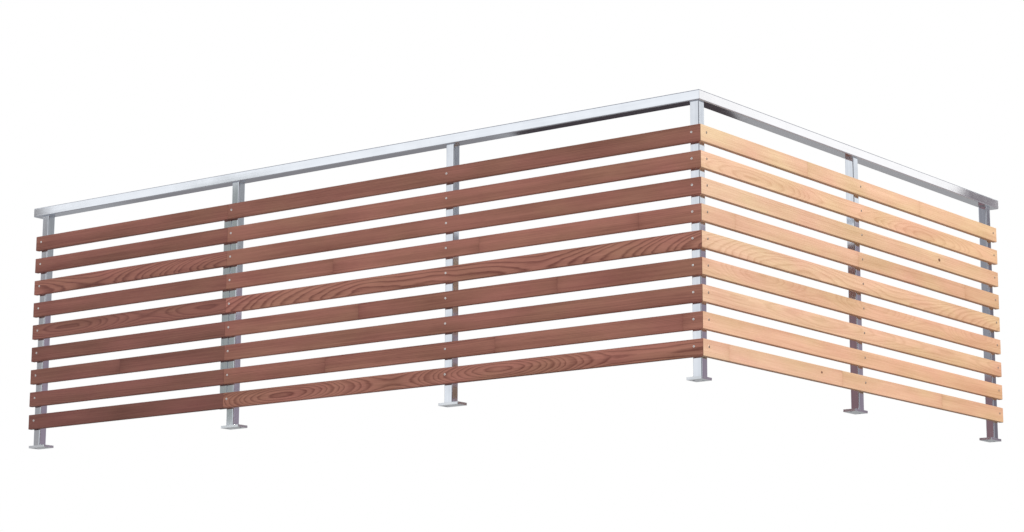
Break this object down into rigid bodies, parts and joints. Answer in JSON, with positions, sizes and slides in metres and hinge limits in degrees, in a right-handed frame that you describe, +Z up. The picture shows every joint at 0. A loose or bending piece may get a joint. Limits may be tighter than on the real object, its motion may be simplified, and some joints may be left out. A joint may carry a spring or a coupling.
{
  "type": "corner balcony railing with horizontal boards",
  "caption": "Corner balcony railing: square steel posts on base plates, a mitred handrail tube and horizontal timber boards on the outer faces.",
  "frame": {"origin": "under the middle of the corner post, on the underside of its base plate", "axes": "+Z up; the long front run goes along -X from the corner and faces -Y; the side run goes along +Y and faces +X"},
  "size_m": [3.649, 2.486, 1.1],
  "materials": {
    "steel": "galvanised, satin",
    "front_timber": "oiled, reddish brown",
    "side_timber": "oiled, honey brown"
  },
  "bodies": {
    "root": {"corner_post": "steel", "corner_plate": "steel", "front_post_1": "steel", "front_plate_1": "steel", "front_post_2": "steel", "front_plate_2": "steel", "front_post_3": "steel", "front_plate_3": "steel", "side_post_1": "steel", "side_plate_1": "steel", "side_post_2": "steel", "side_plate_2": "steel", "front_rail": "steel", "side_rail": "steel", "front_rail_cap": "steel", "side_rail_cap": "steel", "joint_bar": "steel", "front_board_1": "front_timber", "end_board_1": "front_timber", "side_board_1": "side_timber", "front_board_2": "front_timber", "end_board_2": "front_timber", "side_board_2": "side_timber", "front_board_3": "front_timber", "end_board_3": "front_timber", "side_board_3": "side_timber", "front_board_4": "front_timber", "end_board_4": "front_timber", "side_board_4": "side_timber", "front_board_5": "front_timber", "end_board_5": "front_timber", "side_board_5": "side_timber", "front_board_6": "front_timber", "end_board_6": "front_timber", "side_board_6": "side_timber", "front_board_7": "front_timber", "end_board_7": "front_timber", "side_board_7": "side_timber", "front_board_8": "front_timber", "end_board_8": "front_timber", "side_board_8": "side_timber", "front_board_9": "front_timber", "end_board_9": "front_timber", "side_board_9": "side_timber"}
  },
  "joints": []
}
